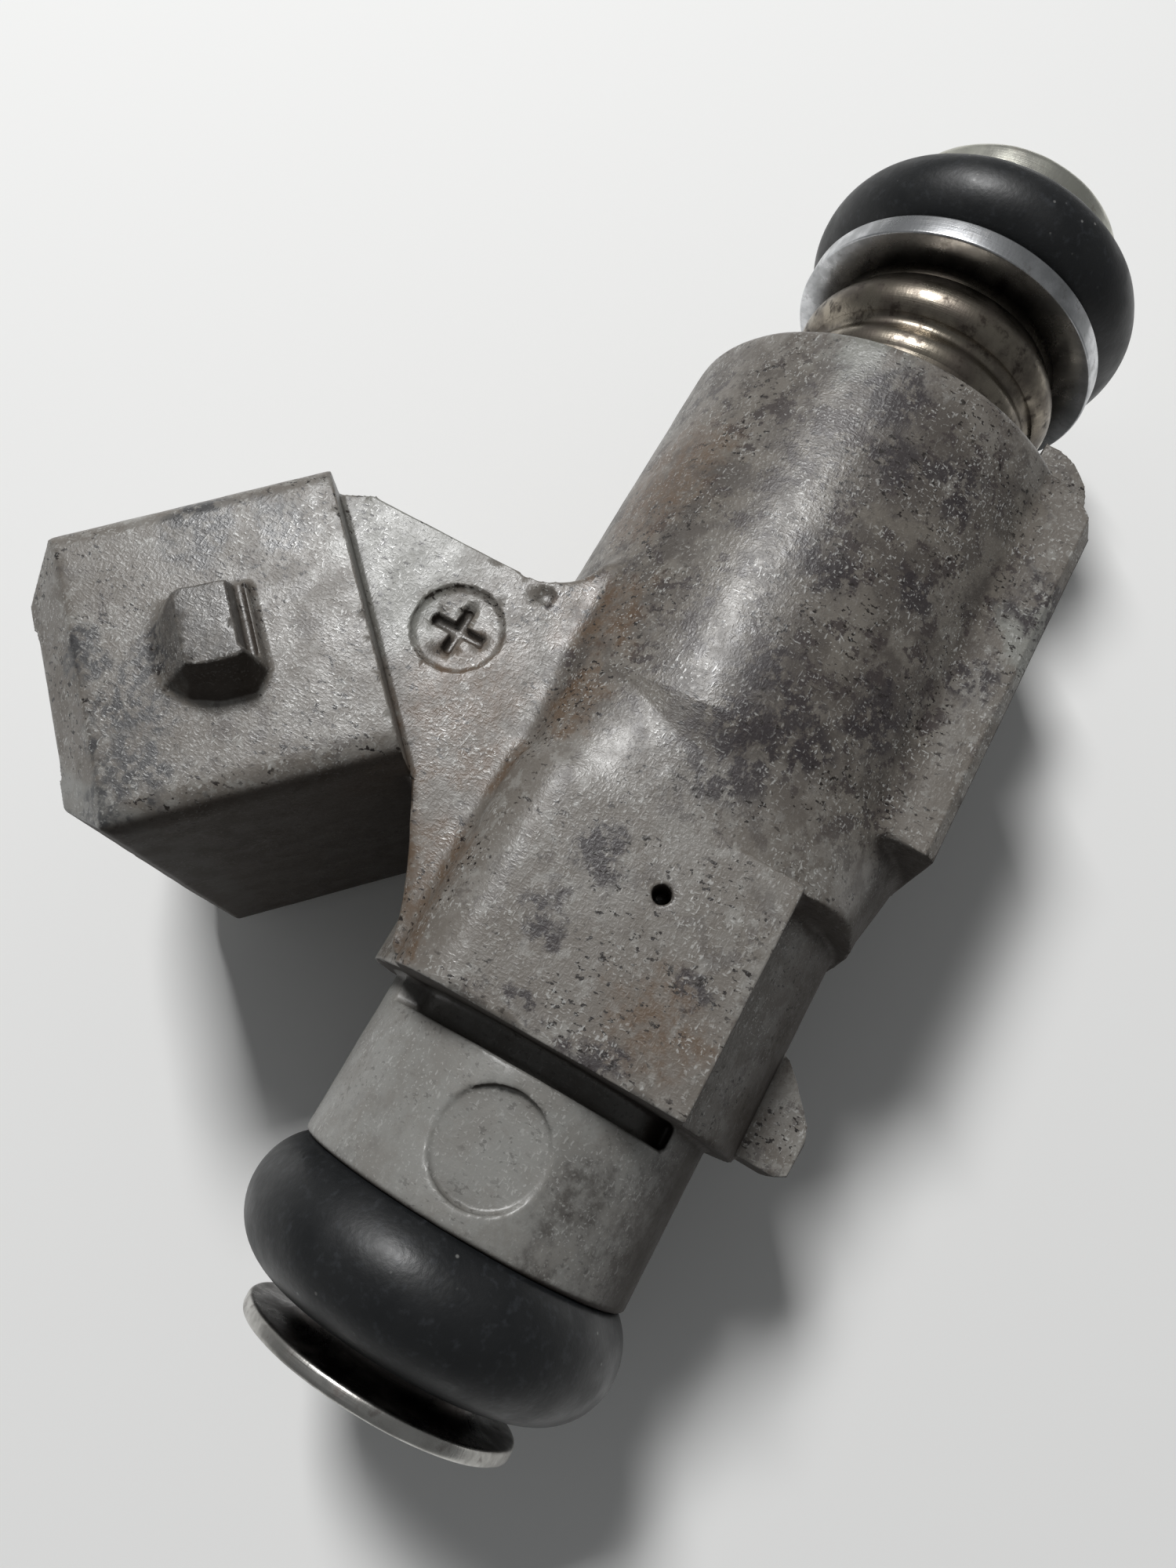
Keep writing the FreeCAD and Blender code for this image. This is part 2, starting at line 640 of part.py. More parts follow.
def needle_tube():
    """Hollow stem pressed into the armature, with two cross holes that let the fuel out."""
    stem = ring(NEEDLE_X0, BALL_X - BALL_FLAT, NEEDLE_BORE_R, NEEDLE_R)
    for direction in (Y_AXIS, Z_AXIS):
        start = X_AXIS * CROSS_HOLE_X - direction * 2 * NEEDLE_R
        stem = stem.cut(Part.makeCylinder(CROSS_HOLE_R, 4 * NEEDLE_R, start, direction))
    return stem


def valve_ball():
    """Steel ball with a flat for the stem, welded to its end."""
    ball = Part.makeSphere(BALL_R, FreeCAD.Vector(BALL_X, 0, 0))
    wide = BALL_R + PAST
    return ball.cut(box(BALL_X - wide, BALL_X - BALL_FLAT, -wide, wide, -wide, wide))


def return_spring():
    """Coil spring between the adjusting sleeve and the floor of the armature's pocket."""
    end_x = ARMATURE_X0 + SPRING_POCKET_DEPTH
    length = end_x - SPRING_X0 - 2 * (SPRING_WIRE_R + SPRING_END_GAP)
    path = Part.makeHelix(length / SPRING_TURNS, length, SPRING_MEAN_R)
    section = Part.Circle(FreeCAD.Vector(SPRING_MEAN_R, 0, 0), Y_AXIS, SPRING_WIRE_R).toShape()
    coil = Part.Wire(path).makePipeShell([Part.Wire(section)], True, True)
    coil.rotate(ORIGIN, Y_AXIS, 90)
    coil.translate(X_AXIS * (SPRING_X0 + SPRING_WIRE_R + SPRING_END_GAP))
    return coil


# ---- nozzle end ------------------------------------------------------------------------

def nozzle_body():
    """Steel tube with a magnetic flange inside the coil shell and two beads outside."""
    bore_r = ARMATURE_R + ARMATURE_CLEARANCE
    r = NOZZLE_TUBE_R
    bead = NOZZLE_BEAD_R
    return turned_edges([
        line((RING_X1, bore_r), (RING_X1, RING_R)),
        line((RING_X1, RING_R), (NOZZLE_FLANGE_X, RING_R)),
        line((NOZZLE_FLANGE_X, RING_R), (NOZZLE_FLANGE_X, HOUSING_R - HOUSING_WALL)),
        line((NOZZLE_FLANGE_X, HOUSING_R - HOUSING_WALL), (COIL_X1, HOUSING_R - HOUSING_WALL)),
        line((COIL_X1, HOUSING_R - HOUSING_WALL), (COIL_X1, r)),
        line((COIL_X1, r), (39.3, r)),
        arc_through((39.3, r), (39.85, r + 0.14), (40.3, r)),
        arc_through((40.3, r), (40.65, r - 0.1), (40.95, r + 0.15)),
        arc_through((40.95, r + 0.15), (41.8, bead), (42.6, r + 0.3)),
        line((42.6, r + 0.3), (43.2, r)),
        line((43.2, r), (WASHER_X0, r)),
        line((WASHER_X0, r), (WASHER_X0, SEAL_SEAT_R)),
        line((WASHER_X0, SEAL_SEAT_R), (NOZZLE_END_X, SEAL_SEAT_R)),
        line((NOZZLE_END_X, SEAL_SEAT_R), (NOZZLE_END_X, VALVE_BORE_R)),
        line((NOZZLE_END_X, VALVE_BORE_R), (VALVE_BORE_X, VALVE_BORE_R)),
        line((VALVE_BORE_X, VALVE_BORE_R), (VALVE_BORE_X, NEEDLE_BORE_CLEARANCE_R)),
        line((VALVE_BORE_X, NEEDLE_BORE_CLEARANCE_R), (ARMATURE_BORE_X1, NEEDLE_BORE_CLEARANCE_R)),
        line((ARMATURE_BORE_X1, NEEDLE_BORE_CLEARANCE_R), (ARMATURE_BORE_X1, bore_r)),
        line((ARMATURE_BORE_X1, bore_r), (RING_X1, bore_r)),
    ])


def guide_disc():
    """Disc that centres the ball, with six holes for the fuel."""
    guide = ring(VALVE_BORE_X, SEAT_X0, BALL_R + GUIDE_CLEARANCE, VALVE_BORE_R)
    start = FreeCAD.Vector(VALVE_BORE_X, 0, GUIDE_HOLE_PLACE_R)
    for number in range(6):
        hole = Part.makeCylinder(CROSS_HOLE_R, GUIDE_THICKNESS, start, X_AXIS)
        hole.rotate(ORIGIN, X_AXIS, number * 60)
        guide = guide.cut(hole)
    return guide


def valve_seat():
    """Seat with a 90 degree cone that the ball closes."""
    cone_tip = BALL_X + (BALL_R + SEAT_CLEARANCE) * math.sqrt(2)
    return turned([
        (SEAT_X0, SEAT_POCKET_R), (SEAT_X0, VALVE_BORE_R), (SEAT_X1, VALVE_BORE_R),
        (SEAT_X1, FUEL_HOLE_R), (cone_tip - FUEL_HOLE_R, FUEL_HOLE_R),
        (cone_tip - SEAT_POCKET_R, SEAT_POCKET_R),
    ])


def orifice_plate():
    """Thin plate with a ring of four spray holes that meter the fuel."""
    plate_disc = disc(SEAT_X1, PLATE_X1, VALVE_BORE_R)
    start = FreeCAD.Vector(SEAT_X1, 0, SPRAY_HOLE_PLACE_R)
    for number in range(4):
        hole = Part.makeCylinder(SPRAY_HOLE_R, PLATE_X1 - SEAT_X1, start, X_AXIS)
        hole.rotate(ORIGIN, X_AXIS, (number + 0.5) * 90)
        plate_disc = plate_disc.cut(hole)
    return plate_disc


def orifice_retainer():
    """Ring that holds the orifice plate against the seat."""
    return ring(PLATE_X1, NOZZLE_END_X, RETAINER_BORE_R, VALVE_BORE_R)


def nozzle_washer():
    """Bright steel washer that backs the nozzle O-ring."""
    edge = 0.12
    return turned([
        (WASHER_X0, SEAL_SEAT_R), (WASHER_X0, WASHER_R - edge), (WASHER_X0 + edge, WASHER_R),
        (WASHER_X1 - edge, WASHER_R), (WASHER_X1, WASHER_R - edge), (WASHER_X1, SEAL_SEAT_R),
    ])


def nozzle_o_ring():
    """Nozzle seal, held between the bright washer and the tip cap."""
    return rounded_seal(NOZZLE_SEAL_X, NOZZLE_SEAL_HALF, NOZZLE_SEAL_R, SEAL_SEAT_R)


def tip_cap():
    """Pressed steel cap that keeps the O-ring on and shields the orifice plate."""
    edge = 0.2
    return turned([
        (CAP_X0, SEAL_SEAT_R), (CAP_X0, CAP_R), (CAP_X1 - edge, CAP_R), (CAP_X1, CAP_R - edge),
        (CAP_X1, CAP_HOLE_R + edge), (CAP_X1 - edge, CAP_HOLE_R), (NOZZLE_END_X, CAP_HOLE_R),
        (NOZZLE_END_X, SEAL_SEAT_R),
    ])


NODES = {
    "overmould": overmould,
    "inlet_tube": inlet_tube,
    "inlet_filter_frame": inlet_filter_frame,
    "inlet_filter_mesh": inlet_filter_mesh,
    "inlet_o_ring": inlet_o_ring,
    "adjusting_sleeve": adjusting_sleeve,
    "return_spring": return_spring,
    "armature": armature,
    "needle_tube": needle_tube,
    "valve_ball": valve_ball,
    "spacer_ring": spacer_ring,
    "flux_washer": flux_washer,
    "coil_housing": coil_housing,
    "coil_bobbin": coil_bobbin,
    "coil_winding": coil_winding,
    "upper_coil_seal": upper_coil_seal,
    "lower_coil_seal": lower_coil_seal,
    "terminal_blade_front": lambda: terminal_blade(1),
    "terminal_blade_rear": lambda: terminal_blade(-1),
    "nozzle_body": nozzle_body,
    "guide_disc": guide_disc,
    "valve_seat": valve_seat,
    "orifice_plate": orifice_plate,
    "orifice_retainer": orifice_retainer,
    "nozzle_washer": nozzle_washer,
    "nozzle_o_ring": nozzle_o_ring,
    "tip_cap": tip_cap,
}

os.makedirs("parts", exist_ok=True)
for node, make in NODES.items():
    shape = make()
    shape.exportStep("parts/" + node + ".step")
    print(node, len(shape.Solids), shape.isValid(), round(shape.Volume, 2))
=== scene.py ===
import json
import math

import bmesh
import bpy
from mathutils import Matrix, Vector, noise


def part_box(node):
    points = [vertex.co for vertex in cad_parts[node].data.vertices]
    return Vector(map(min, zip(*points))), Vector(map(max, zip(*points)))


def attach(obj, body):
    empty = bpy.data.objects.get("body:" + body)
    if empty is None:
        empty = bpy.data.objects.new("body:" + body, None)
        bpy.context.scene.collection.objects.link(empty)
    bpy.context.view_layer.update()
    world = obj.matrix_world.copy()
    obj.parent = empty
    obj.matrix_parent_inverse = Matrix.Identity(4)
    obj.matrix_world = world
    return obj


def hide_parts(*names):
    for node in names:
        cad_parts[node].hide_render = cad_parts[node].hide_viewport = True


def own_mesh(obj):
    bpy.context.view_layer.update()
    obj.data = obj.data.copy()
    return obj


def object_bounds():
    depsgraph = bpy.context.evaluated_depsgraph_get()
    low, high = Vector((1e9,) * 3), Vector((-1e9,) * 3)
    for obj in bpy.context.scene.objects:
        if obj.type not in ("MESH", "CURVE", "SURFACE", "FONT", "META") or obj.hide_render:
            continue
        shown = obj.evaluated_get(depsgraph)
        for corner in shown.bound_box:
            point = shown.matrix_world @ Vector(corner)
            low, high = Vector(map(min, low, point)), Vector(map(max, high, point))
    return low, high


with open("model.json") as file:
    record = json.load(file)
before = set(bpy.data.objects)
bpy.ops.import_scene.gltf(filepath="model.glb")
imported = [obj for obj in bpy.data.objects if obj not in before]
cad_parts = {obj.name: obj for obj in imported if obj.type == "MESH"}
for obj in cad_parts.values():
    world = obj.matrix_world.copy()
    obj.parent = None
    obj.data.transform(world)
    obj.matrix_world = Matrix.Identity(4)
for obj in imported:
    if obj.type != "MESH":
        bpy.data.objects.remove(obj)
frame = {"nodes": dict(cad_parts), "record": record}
cad_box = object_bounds()
MM = 0.001


# ---- camera, lights and floor --------------------------------------------------------------

def make_camera():
    """Looks down on the injector from near its inlet, turned and placed as in the photo."""
    right = Vector((0.4852, -0.8742, 0.0090))
    up = Vector((0.8360, 0.4670, 0.2877))
    back = Vector((-0.2557, -0.1321, 0.9577))
    place = Vector((6.34, -2.271, 45.475)) * MM
    data = bpy.data.cameras.new("camera")
    data.sensor_width = 36.0
    data.lens = 27.136
    data.clip_start = 1 * MM
    data.clip_end = 5.0
    camera = bpy.data.objects.new("camera", data)
    camera.matrix_world = Matrix((right, up, back)).transposed().to_4x4()
    camera.location = place
    bpy.context.scene.collection.objects.link(camera)
    bpy.context.scene.camera = camera


def softbox(name, place, aim, size, power):
    """Square studio lamp at a place, facing a point."""
    data = bpy.data.lights.new(name, "AREA")
    data.shape = "RECTANGLE"
    data.size = size
    data.size_y = size
    data.energy = power
    lamp = bpy.data.objects.new(name, data)
    lamp.location = place
    lamp.rotation_euler = (Vector(aim) - Vector(place)).to_track_quat("-Z", "Y").to_euler()
    bpy.context.scene.collection.objects.link(lamp)


def make_studio():
    """One lamp high on the connector's side, weak light from all round and a pale floor."""
    low, high = cad_box
    middle = (low + high) / 2
    reach = (high - low).length
    key_way = Vector((0.38, 0.37, 0.85))
    key_distance = 5 * reach
    key_size = 1.1 * reach
    key_power = 0.96
    softbox("key_light", middle + key_distance * key_way, middle, key_size, key_power)

    world = bpy.data.worlds.new("studio")
    world.use_nodes = True
    sky = world.node_tree.nodes["Background"]
    sky.inputs["Color"].default_value = (0.97, 0.99, 1, 1)
    sky.inputs["Strength"].default_value = 0.15
    bpy.context.scene.world = world
    bpy.context.scene.view_settings.view_transform = "Standard"

    half = 40 * reach
    mesh = bpy.data.meshes.new("floor")
    corners = [(-half, -half), (half, -half), (half, half), (-half, half)]
    mesh.from_pydata([(x, y, low.z) for x, y in corners], [], [(0, 1, 2, 3)])
    floor = bpy.data.objects.new("floor", mesh)
    bpy.context.scene.collection.objects.link(floor)
    paint = bpy.data.materials.new("floor_paint")
    paint.use_nodes = True
    shader = paint.node_tree.nodes["Principled BSDF"]
    shader.inputs["Base Color"].default_value = (0.92, 0.92, 0.91, 1)
    shader.inputs["Roughness"].default_value = 0.9
    mesh.materials.append(paint)


# ---- node helpers --------------------------------------------------------------------------

class Paint:
    """A material under construction: each method adds a node and returns its output."""

    def __init__(self, name, roughness=0.5, metallic=0.0, specular=0.5):
        self.material = bpy.data.materials.new(name)
        self.material.use_nodes = True
        self.nodes = self.material.node_tree.nodes
        self.links = self.material.node_tree.links
        self.shader = self.nodes["Principled BSDF"]
        self.shader.inputs["Roughness"].default_value = roughness
        self.shader.inputs["Metallic"].default_value = metallic
        self.shader.inputs["Specular IOR Level"].default_value = specular
        self.place = self.add("ShaderNodeTexCoord").outputs["Object"]

    def add(self, kind, **settings):
        node = self.nodes.new(kind)
        for key, value in settings.items():
            setattr(node, key, value)
        return node

    def feed(self, socket, value):
        """Links an output, or sets a plain value."""
        if isinstance(value, bpy.types.NodeSocket):
            self.links.new(value, socket)
        elif isinstance(value, tuple) and len(value) == 3 and socket.type == "RGBA":
            socket.default_value = (*value, 1)
        else:
            socket.default_value = value

    def maths(self, operation, a, b, clamp=False):
        node = self.add("ShaderNodeMath", operation=operation, use_clamp=clamp)
        self.feed(node.inputs[0], a)
        self.feed(node.inputs[1], b)
        return node.outputs[0]

    def product(self, first, *others):
        """All the values multiplied, from left to right."""
        result = first
        for value in others:
            result = self.maths("MULTIPLY", result, value)
        return result

    def stretched(self, scale, turn=(0, 0, 0)):
        """Place on the part, scaled and turned, for patterns that run one way."""
        node = self.add("ShaderNodeMapping")
        self.feed(node.inputs["Vector"], self.place)
        self.feed(node.inputs["Rotation"], turn)
        self.feed(node.inputs["Scale"], scale)
        return node.outputs[0]

    def noise(self, grain, detail=4.0, rough=0.55, where=None):
        """Cloudy noise, with features of about the given size in millimetres."""
        node = self.add("ShaderNodeTexNoise")
        self.feed(node.inputs["Vector"], where or self.place)
        self.feed(node.inputs["Scale"], 1 / (grain * MM))
        self.feed(node.inputs["Detail"], detail)
        self.feed(node.inputs["Roughness"], rough)
        return node.outputs["Fac"]

    def cells(self, grain):
        """Distance to the nearest of many points, about the given size apart in millimetres."""
        node = self.add("ShaderNodeTexVoronoi", feature="F1")
        self.feed(node.inputs["Vector"], self.place)
        self.feed(node.inputs["Scale"], 1 / (grain * MM))
        return node.outputs["Distance"]

    def band(self, value, start, end, low=0.0, high=1.0):
        """Smooth step: low before start, high after end."""
        node = self.add("ShaderNodeMapRange", interpolation_type="SMOOTHSTEP")
        self.feed(node.inputs["Value"], value)
        self.feed(node.inputs["From Min"], start)
        self.feed(node.inputs["From Max"], end)
        self.feed(node.inputs["To Min"], low)
        self.feed(node.inputs["To Max"], high)
        return node.outputs[0]

    def mix(self, amount, a, b):
        """Colour a where the amount is 0, colour b where it is 1."""
        node = self.add("ShaderNodeMix", data_type="RGBA")
        self.feed(node.inputs["Factor"], amount)
        self.feed(node.inputs["A"], a)
        self.feed(node.inputs["B"], b)
        return node.outputs["Result"]

    def ripple(self, pitch, where):
        """Even waves along X, with a texture scale given in millimetres."""
        node = self.add("ShaderNodeTexWave", wave_type="BANDS", bands_direction="X")
        self.feed(node.inputs["Vector"], where)
        self.feed(node.inputs["Scale"], 1 / (pitch * MM))
        return node.outputs["Fac"]

    def axis(self, letter):
        """Place along one axis of the part."""
        node = self.add("ShaderNodeSeparateXYZ")
        self.feed(node.inputs[0], self.place)
        return node.outputs[letter]

    def facing(self, direction):
        """How far the surface faces a fixed direction of the part, from -1 to 1."""
        node = self.add("ShaderNodeVectorMath", operation="DOT_PRODUCT")
        self.feed(node.inputs[0], self.add("ShaderNodeNewGeometry").outputs["Normal"])
        self.feed(node.inputs[1], direction)
        return node.outputs["Value"]

    def patches(self, spots, grain=1.3, ragged=5.0):
        """Soft ragged patches round points, with places and radii in millimetres."""
        wander = self.maths("SUBTRACT", self.noise(grain, 6, 0.6), 0.5)
        wander = self.product(wander, ragged * MM)
        fade_start = 1.25
        fade_end = 0.45
        masks = []
        for place, radius in spots:
            node = self.add("ShaderNodeVectorMath", operation="DISTANCE")
            self.feed(node.inputs[0], self.place)
            self.feed(node.inputs[1], tuple(c * MM for c in place))
            reach = self.maths("ADD", node.outputs["Value"], wander)
            masks.append(self.band(reach, fade_start * radius * MM, fade_end * radius * MM))
        return self.most(masks)

    def off_axis(self):
        """Distance from the fuel axis."""
        flat = self.add("ShaderNodeVectorMath", operation="MULTIPLY")
        self.feed(flat.inputs[0], self.place)
        self.feed(flat.inputs[1], (0, 1, 1))
        node = self.add("ShaderNodeVectorMath", operation="LENGTH")
        self.feed(node.inputs[0], flat.outputs[0])
        return node.outputs["Value"]

    def most(self, values):
        """The largest of several masks."""
        result = values[0]
        for value in values[1:]:
            result = self.maths("MAXIMUM", result, value)
        return result

    def hollows(self, distance):
        """1 in the open, falling towards 0 in corners and gaps."""
        node = self.add("ShaderNodeAmbientOcclusion", samples=6)
        self.feed(node.inputs["Distance"], distance * MM)
        return node.outputs["AO"]

    def bump(self, height, depth, strength=1.0, under=None):
        """Fine relief of the given depth in millimetres, on top of another relief."""
        node = self.add("ShaderNodeBump")
        self.feed(node.inputs["Height"], height)
        self.feed(node.inputs["Distance"], depth * MM)
        self.feed(node.inputs["Strength"], strength)
        if under is not None:
            self.feed(node.inputs["Normal"], under)
        return node.outputs[0]

    def finish(self, colour, roughness=None, normal=None):
        self.feed(self.shader.inputs["Base Color"], colour)
        if roughness is not None:
            self.feed(self.shader.inputs["Roughness"], roughness)
        if normal is not None:
            self.feed(self.shader.inputs["Normal"], normal)
        return self.material


# ---- materials -----------------------------------------------------------------------------

# Patches of dirt, and pools of painted highlight, on the moulding: a place and a radius, in millimetres
SMUDGES = [
    ((34.2, 0.3, 8.6), 1.6), ((31.9, -1.3, 8.5), 1.5), ((32.9, -3.4, 8.0), 1.5), ((22.6, -0.5, 8.6), 1.7),
    ((19.8, -0.8, 8.5), 2.2), ((21.2, -2.6, 8.2), 1.5), ((28.2, -3.3, 7.9), 1.3), ((27.3, -0.4, 8.6), 1.3),
    ((23.6, -4.6, 7.3), 1.6), ((22.4, 8.0, 5.9), 0.4), ((27.1, -7.1, 6.0), 1.1), ((31.1, -7.9, 6.0), 1.2),
    ((8.9, -2.0, 8.3), 1.1), ((12.2, -3.6, 8.3), 0.8), ((11.6, 2.4, 8.3), 1.0), ((14.6, 1.6, 8.3), 0.9),
    ((9.0, 1.4, 8.3), 0.7),
]
NECK_DIRT = [
    ((4.3, -5.2, 3.9), 2.3), ((4.9, -3.3, 5.7), 1.5), ((6.3, -5.6, 3.4), 1.8), ((2.6, -3.2, 5.7), 1.0),
]
# Pools of painted highlight, where the lamp's reflection falls on the moulding
PAINTED_HIGHLIGHTS = [
    ((21.8, 13.6, 6.0), 3.4), ((35.9, 2.2, 8.4), 1.6), ((29.5, -8.4, 6.0), 1.6), ((19.5, 12.6, 6.0), 2.0),
]
SOOT = [
    ((19.5, 17.1, 8.3), 1.3), ((17.9, 19.3, 8.3), 1.4), ((11.2, 17.2, 8.3), 1.7), ((9.8, 16.6, 8.3), 1.5),
    ((8.2, 16.2, 7.9), 1.2), ((11.7, 20.0, 7.9), 1.1), ((12.8, 17.6, 8.3), 1.3),
]
RUST = [
    ((16.5, 9.5, 6.0), 1.7), ((15.8, 6.6, 6.0), 1.5), ((11.5, 6.8, 6.0), 2.4), ((22.6, 5.8, 6.6), 2.0),
    ((19.0, 5.0, 7.0), 1.6), ((9.0, 5.4, 6.6), 1.3), ((29.0, 6.6, 5.4), 3.0), ((17.8, 8.6, 6.0), 2.4),
    ((10.4, -2.6, 8.3), 2.0), ((13.6, 9.4, 6.0), 1.8),
]

# Colours of the moulding, of what lies on it, and of the painted highlight and shade on it
NYLON_DARK = (0.176, 0.160, 0.142)
NYLON_LIGHT = (0.222, 0.210, 0.192)
NYLON_NECK = (0.262, 0.262, 0.248)
NYLON_BROWN = (0.150, 0.134, 0.116)
NYLON_BLEACHED = (0.290, 0.282, 0.262)
NYLON_HIGHLIGHT = (0.275, 0.290, 0.268)
GRIME_THIN = (0.150, 0.134, 0.114)
GRIME_THICK = (0.082, 0.071, 0.062)
PIT_BLACK = (0.052, 0.042, 0.040)
DIRT_BROWN = (0.070, 0.062, 0.056)
RUST_BROWN = (0.120, 0.078, 0.048)
SMUDGE_BLACK = (0.036, 0.030, 0.032)
SOOT_BLACK = (0.042, 0.043, 0.047)
NUB_BROWN = (0.070, 0.064, 0.058)
FLECK_BLACK = (0.018, 0.014, 0.012)
FIBRE_GLINT_GREY = (0.52, 0.52, 0.50)
# Painted shade: on faces turned from the lamp, and in corners and gaps
PAINTED_SHADE_BROWN = (0.026, 0.017, 0.011)
CORNER_SHADE_BROWN = (0.024, 0.016, 0.011)

# The way that the moulding's shaded side faces: painted shade darkens the faces turned this way
PAINTED_SHADE_WAY = (-0.60, -0.75, -0.28)


def nylon_base(p, clouds, wide, neck, rough_part):
    """Grey nylon, cleaner on the neck, with brown mottling and bleached patches elsewhere."""
    colour = p.mix(p.band(wide, 0.35, 0.65), NYLON_DARK, NYLON_LIGHT)
    colour = p.mix(p.product(neck, 0.8), colour, NYLON_NECK)
    mottle = p.product(p.band(clouds, 0.42, 0.60), rough_part)
    colour = p.mix(mottle, colour, NYLON_BROWN)
    bleached = p.product(p.band(p.noise(0.6, 6, 0.62), 0.54, 0.62), rough_part, 0.55)
    return p.mix(bleached, colour, NYLON_BLEACHED)


def barrel_grime(p, colour, along, clouds, wide, rough_part):
    """Brown grime round the barrel, and black pits there and in wide patches elsewhere."""
    near_axis = p.band(p.off_axis(), 9.4 * MM, 8.8 * MM)
    past_taper = p.band(along, 16.0 * MM, 21.0 * MM)
    before_end = p.band(along, 35.6 * MM, 34.6 * MM, 0.35, 1.0)
    barrel = p.product(near_axis, past_taper, before_end)
    tone = p.mix(p.band(clouds, 0.42, 0.58), GRIME_THIN, GRIME_THICK)
    grime = p.product(barrel, p.band(p.noise(2.6, 4), 0.25, 0.62, 0.45, 0.95))
    colour = p.mix(grime, colour, tone)
    where = p.most([p.product(barrel, 0.9), p.product(p.band(wide, 0.45, 0.6), 0.45)])
    pits = p.product(p.band(p.noise(1.0, 9, 0.72), 0.545, 0.560), where, rough_part)
    return p.mix(pits, colour, PIT_BLACK)


def dirt_and_highlight_patches(p, colour):
    """Patches at chosen places: painted highlight, dirty, rusty, smudged and sooty."""
    # Painted highlight: lighter patches where the lamp's reflection falls
    colour = p.mix(p.product(p.patches(PAINTED_HIGHLIGHTS), 0.45), colour, NYLON_HIGHLIGHT)
    layers = [
        (NECK_DIRT, DIRT_BROWN, p.band(p.noise(0.5, 9, 0.7), 0.36, 0.62, 0.1, 0.8)),
        (RUST, RUST_BROWN, p.band(p.noise(0.5, 8, 0.65), 0.36, 0.60, 0.2, 0.85)),
        (SMUDGES, SMUDGE_BLACK, p.band(p.noise(0.7, 9, 0.7), 0.44, 0.52, 0.15, 0.92)),
        (SOOT, SOOT_BLACK, p.band(p.noise(0.35, 8), 0.40, 0.56, 0.15, 0.85)),
    ]
    for spots, tone, broken in layers:
        colour = p.mix(p.product(p.patches(spots), broken), colour, tone)
    return colour


def nub_and_flecks(p, colour, rough_part):
    """Dirt on the raised nub, and fine dark flecks in clusters."""
    raised = p.band(p.axis("Z"), 8.7 * MM, 9.4 * MM)
    nub = p.product(raised, p.band(p.noise(0.3, 6, 0.65), 0.38, 0.58, 0.5, 0.95))
    colour = p.mix(nub, colour, NUB_BROWN)
    flecks = p.band(p.noise(0.17, 3, 0.55, p.stretched((1, 0.6, 1), (0.2, 0.4, 0.9))), 0.60, 0.63)
    clusters = p.band(p.noise(2.2, 5), 0.42, 0.56, 0.10, 1.0)
    return p.mix(p.product(flecks, clusters, rough_part), colour, FLECK_BLACK)


def moulding_paint():
    """Old glass-filled nylon: grey, sparkling with fibres, grimy brown and purple-grey, with painted
    shade, glints and highlights.
    """
    p = Paint("moulding_paint", specular=0.5)
    along = p.axis("X")
    clouds = p.noise(1.3, 8, 0.68)
    wide = p.noise(4.0, 3, 0.5)
    neck = p.band(along, 8.6 * MM, 8.1 * MM)
    rough_part = p.maths("SUBTRACT", 1.0, p.product(neck, 0.65))

    colour = nylon_base(p, clouds, wide, neck, rough_part)
    colour = barrel_grime(p, colour, along, clouds, wide, rough_part)
    colour = dirt_and_highlight_patches(p, colour)
    colour = nub_and_flecks(p, colour, rough_part)

    fibres = p.noise(0.085, 1.5, 0.5, p.stretched((1, 0.45, 1), (0.3, 0.2, 0.6)))
    crossed = p.noise(0.095, 1.5, 0.5, p.stretched((0.45, 1, 1), (0.1, 0.5, 1.1)))
    grain = p.maths("MAXIMUM", fibres, crossed)
    glints = p.product(p.band(grain, 0.62, 0.70), p.band(p.noise(1.7, 4), 0.40, 0.62, 0.15, 1.0))
    # Lighter fibre specks: partly the fibres' own colour, partly painted glints
    fibre_specks_and_glints = p.product(glints, p.maths("MAXIMUM", rough_part, 0.7), 0.6)
    colour = p.mix(fibre_specks_and_glints, colour, FIBRE_GLINT_GREY)

    # Painted shade on the faces turned from the lamp, which are also made rougher
    painted_shade_side = p.band(p.facing(PAINTED_SHADE_WAY), 0.28, 0.62)
    colour = p.mix(p.product(painted_shade_side, 0.85), colour, PAINTED_SHADE_BROWN)
    # Painted shade in corners and gaps
    corners = p.band(p.hollows(0.9), 0.95, 0.45)
    colour = p.mix(p.product(corners, 0.9), colour, CORNER_SHADE_BROWN)

    rough = p.maths("SUBTRACT", p.band(clouds, 0.35, 0.65, 0.33, 0.45), p.product(glints, 0.12))
    rough = p.maths("ADD", rough, p.product(painted_shade_side, 0.4), clamp=True)
    coarse = p.bump(p.noise(0.9, 3, 0.5), 0.025, 0.4)
    fine = p.bump(p.product(grain, rough_part), 0.022, 0.8, coarse)
    return p.finish(colour, rough, fine)


def rubber_paint():
    """Black O-ring rubber with a dull sheen, dust in its pores and a few scuffs."""
    p = Paint("rubber_paint", specular=0.45)
    dust = p.band(p.noise(0.35, 6), 0.52, 0.72, 0, 0.5)
    specks = p.product(p.band(p.cells(0.8), 0.10, 0.04), p.band(p.noise(2.5), 0.5, 0.6), 0.6)
    colour = p.mix(dust, (0.010, 0.011, 0.012), (0.034, 0.037, 0.042))
    colour = p.mix(specks, colour, (0.25, 0.25, 0.24))
    rough = p.band(p.noise(1.6, 4), 0.3, 0.7, 0.36, 0.52)
    return p.finish(colour, rough, p.bump(p.noise(0.22, 5), 0.03, 0.35))


